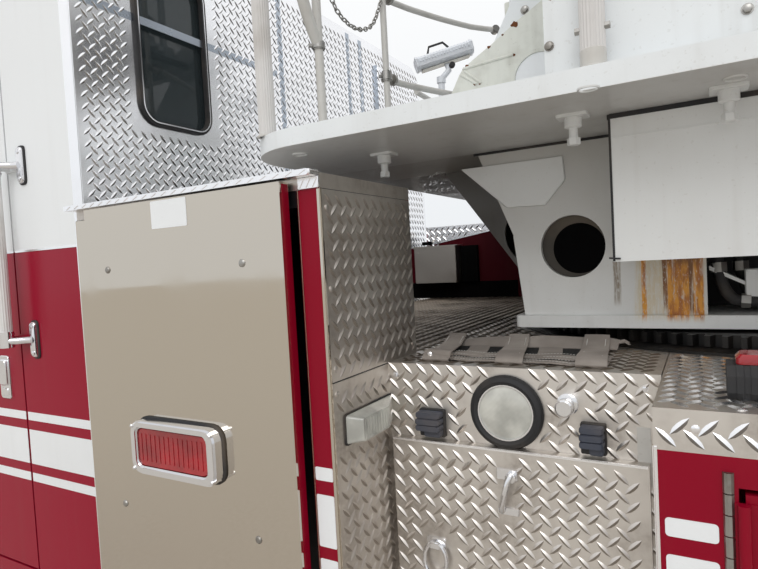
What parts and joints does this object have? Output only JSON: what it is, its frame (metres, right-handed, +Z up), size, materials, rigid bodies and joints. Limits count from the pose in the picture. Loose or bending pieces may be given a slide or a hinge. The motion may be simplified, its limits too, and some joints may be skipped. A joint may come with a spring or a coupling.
{
  "type": "mid-mount ladder fire truck",
  "caption": "Cab-over fire truck with a turntable ladder behind the cab, side stabilizers, lockers and a hose bed.",
  "frame": {"origin": "on the ground below the middle of the whole truck's box", "axes": "+X forward along the truck, +Y to its left, +Z up"},
  "size_m": [11.9, 2.84, 3.5498],
  "materials": {
    "red_paint": "gloss",
    "white_paint": "gloss",
    "frame_paint": "satin",
    "treadplate": "bright embossed",
    "mirror_steel": "polished",
    "chrome": "polished",
    "ladder_alloy": "satin",
    "rail_alloy": "satin",
    "wheel_alloy": "polished",
    "cast": "rough",
    "rubber_tyre": "matte",
    "clear_glass": "clear",
    "lens": "gloss",
    "dark_plastic": "matte",
    "seat_cloth": "woven"
  },
  "bodies": {
    "chassis": {"chassis_frame": "frame_paint", "front_axle": "cast", "rear_axle": "cast", "engine": "cast", "cab_front": "red_paint", "cab_roof": "white_paint", "cab_sides": "red_paint", "cab_rear_wall": "treadplate", "cab_floor": "dark_plastic", "cab_glass": "clear_glass", "seats": "seat_cloth", "grille": "chrome", "front_bumper": "mirror_steel", "lamps": "lens", "light_bar": "lens", "mirrors": "chrome", "body_sides": "red_paint", "body_decks": "treadplate", "stabilizer_housings": "red_paint"},
    "turntable": {"turntable": "white_paint", "turntable_rails": "rail_alloy"},
    "ladder_base": {"ladder_base": "ladder_alloy"},
    "ladder_second": {"ladder_second": "ladder_alloy"},
    "ladder_third": {"ladder_third": "ladder_alloy"},
    "ladder_fly": {"ladder_fly": "ladder_alloy"},
    "lift_barrels": {"lift_barrels": "white_paint"},
    "lift_rods": {"lift_rods": "chrome"},
    "knuckle_left": {"knuckle_left": "cast"},
    "wheel_front_left": {"tyre_front_left": "rubber_tyre", "rim_front_left": "wheel_alloy"},
    "wheels_rear_left": {"tyres_rear_left": "rubber_tyre", "rims_rear_left": "wheel_alloy"},
    "front_door_left": {"front_door_left": "red_paint", "front_glass_left": "clear_glass"},
    "crew_door_left": {"crew_door_left": "red_paint", "crew_glass_left": "clear_glass"},
    "locker_front_left": {"locker_front_left": "red_paint"},
    "locker_rear_left": {"locker_rear_left": "red_paint"},
    "recess_door_left": {"recess_door_left": "treadplate"},
    "stabilizer_left": {"stabilizer_beam_left": "white_paint", "stabilizer_cover_left": "mirror_steel"},
    "jack_front_left": {"jack_front_left": "chrome"},
    "jack_rear_left": {"jack_rear_left": "chrome"},
    "knuckle_right": {"knuckle_right": "cast"},
    "wheel_front_right": {"tyre_front_right": "rubber_tyre", "rim_front_right": "wheel_alloy"},
    "wheels_rear_right": {"tyres_rear_right": "rubber_tyre", "rims_rear_right": "wheel_alloy"},
    "front_door_right": {"front_door_right": "red_paint", "front_glass_right": "clear_glass"},
    "crew_door_right": {"crew_door_right": "red_paint", "crew_glass_right": "clear_glass"},
    "locker_front_right": {"locker_front_right": "red_paint"},
    "locker_rear_right": {"locker_rear_right": "red_paint"},
    "recess_door_right": {"recess_door_right": "treadplate"},
    "stabilizer_right": {"stabilizer_beam_right": "white_paint", "stabilizer_cover_right": "mirror_steel"},
    "jack_front_right": {"jack_front_right": "chrome"},
    "jack_rear_right": {"jack_rear_right": "chrome"}
  },
  "joints": [
    {"name": "steer_left", "type": "hinge", "parent": "chassis", "child": "knuckle_left", "pos_m": [3.72, 0.845, 0.538], "axis": [0, 0, 1], "range_deg": [-38, 38]},
    {"name": "spin_front_left", "type": "hinge", "parent": "knuckle_left", "child": "wheel_front_left", "pos_m": [3.72, 1.065, 0.538], "axis": [0, 1, 0], "continuous": true},
    {"name": "spin_rear_left", "type": "hinge", "parent": "chassis", "child": "wheels_rear_left", "pos_m": [-2.35, 0.9, 0.538], "axis": [0, 1, 0], "continuous": true},
    {"name": "front_door_left_open", "type": "hinge", "parent": "chassis", "child": "front_door_left", "pos_m": [5.204, 1.168, 1.5], "axis": [0, 0, -1], "range_deg": [0, 75]},
    {"name": "crew_door_left_open", "type": "hinge", "parent": "chassis", "child": "crew_door_left", "pos_m": [3.029, 1.168, 1.5], "axis": [0, 0, -1], "range_deg": [0, 75]},
    {"name": "locker_front_left_open", "type": "hinge", "parent": "chassis", "child": "locker_front_left", "pos_m": [0.264, 1.278, 0.93], "axis": [0, 0, -1], "range_deg": [0, 105]},
    {"name": "locker_rear_left_open", "type": "hinge", "parent": "chassis", "child": "locker_rear_left", "pos_m": [-4.31, 1.278, 1.234], "axis": [1, 0, 0], "range_deg": [0, 95]},
    {"name": "recess_door_left_open", "type": "hinge", "parent": "chassis", "child": "recess_door_left", "pos_m": [0.665, 1.044, 0.6267], "axis": [-1, 0, 0], "range_deg": [0, 95]},
    {"name": "stabilizer_left_out", "type": "slide", "parent": "chassis", "child": "stabilizer_left", "axis": [0, 1, 0], "range_m": [0, 1.2]},
    {"name": "jack_front_left_down", "type": "slide", "parent": "stabilizer_left", "child": "jack_front_left", "axis": [0, 0, -1], "range_m": [0, 0.33]},
    {"name": "jack_rear_left_down", "type": "slide", "parent": "chassis", "child": "jack_rear_left", "axis": [0, 0, -1], "range_m": [0, 0.33]},
    {"name": "steer_right", "type": "hinge", "parent": "chassis", "child": "knuckle_right", "pos_m": [3.72, -0.845, 0.538], "axis": [0, 0, 1], "range_deg": [-38, 38]},
    {"name": "spin_front_right", "type": "hinge", "parent": "knuckle_right", "child": "wheel_front_right", "pos_m": [3.72, -1.065, 0.538], "axis": [0, 1, 0], "continuous": true},
    {"name": "spin_rear_right", "type": "hinge", "parent": "chassis", "child": "wheels_rear_right", "pos_m": [-2.35, -0.9, 0.538], "axis": [0, 1, 0], "continuous": true},
    {"name": "front_door_right_open", "type": "hinge", "parent": "chassis", "child": "front_door_right", "pos_m": [5.204, -1.168, 1.5], "axis": [0, 0, 1], "range_deg": [0, 75]},
    {"name": "crew_door_right_open", "type": "hinge", "parent": "chassis", "child": "crew_door_right", "pos_m": [3.029, -1.168, 1.5], "axis": [0, 0, 1], "range_deg": [0, 75]},
    {"name": "locker_front_right_open", "type": "hinge", "parent": "chassis", "child": "locker_front_right", "pos_m": [0.264, -1.278, 0.93], "axis": [0, 0, 1], "range_deg": [0, 105]},
    {"name": "locker_rear_right_open", "type": "hinge", "parent": "chassis", "child": "locker_rear_right", "pos_m": [-4.31, -1.278, 1.234], "axis": [-1, 0, 0], "range_deg": [0, 95]},
    {"name": "recess_door_right_open", "type": "hinge", "parent": "chassis", "child": "recess_door_right", "pos_m": [0.665, -1.044, 0.6267], "axis": [1, 0, 0], "range_deg": [0, 95]},
    {"name": "stabilizer_right_out", "type": "slide", "parent": "chassis", "child": "stabilizer_right", "axis": [0, -1, 0], "range_m": [0, 1.2]},
    {"name": "jack_front_right_down", "type": "slide", "parent": "stabilizer_right", "child": "jack_front_right", "axis": [0, 0, -1], "range_m": [0, 0.33]},
    {"name": "jack_rear_right_down", "type": "slide", "parent": "chassis", "child": "jack_rear_right", "axis": [0, 0, -1], "range_m": [0, 0.33]},
    {"name": "turntable_turn", "type": "hinge", "parent": "chassis", "child": "turntable", "pos_m": [0.05, 0, 1.3897], "axis": [0, 0, 1], "continuous": true},
    {"name": "ladder_raise", "type": "hinge", "parent": "turntable", "child": "ladder_base", "pos_m": [0.6, 0, 3], "axis": [0, 1, 0], "range_deg": [0, 75]},
    {"name": "barrels_tilt", "type": "hinge", "parent": "turntable", "child": "lift_barrels", "pos_m": [-0.25, 0, 2.26], "axis": [0, 1, 0], "range_deg": [0, 69.55]},
    {"name": "rods_out", "type": "slide", "parent": "lift_barrels", "child": "lift_rods", "axis": [-0.9095, 0, 0.4158], "range_m": [0, 1.353]},
    {"name": "second_out", "type": "slide", "parent": "ladder_base", "child": "ladder_second", "axis": [-1, 0, 0], "range_m": [0, 5]},
    {"name": "third_out", "type": "slide", "parent": "ladder_second", "child": "ladder_third", "axis": [-1, 0, 0], "range_m": [0, 5]},
    {"name": "fly_out", "type": "slide", "parent": "ladder_third", "child": "ladder_fly", "axis": [-1, 0, 0], "range_m": [0, 5]}
  ],
  "couplings": [
    {"joint": "steer_right", "follows": "steer_left", "ratio": 1},
    {"joint": "barrels_tilt", "follows": "ladder_raise", "ratio": 0.9273},
    {"joint": "rods_out", "follows": "ladder_raise", "m_per_rad": 1.0322},
    {"joint": "third_out", "follows": "second_out", "ratio": 1},
    {"joint": "fly_out", "follows": "second_out", "ratio": 1}
  ]
}
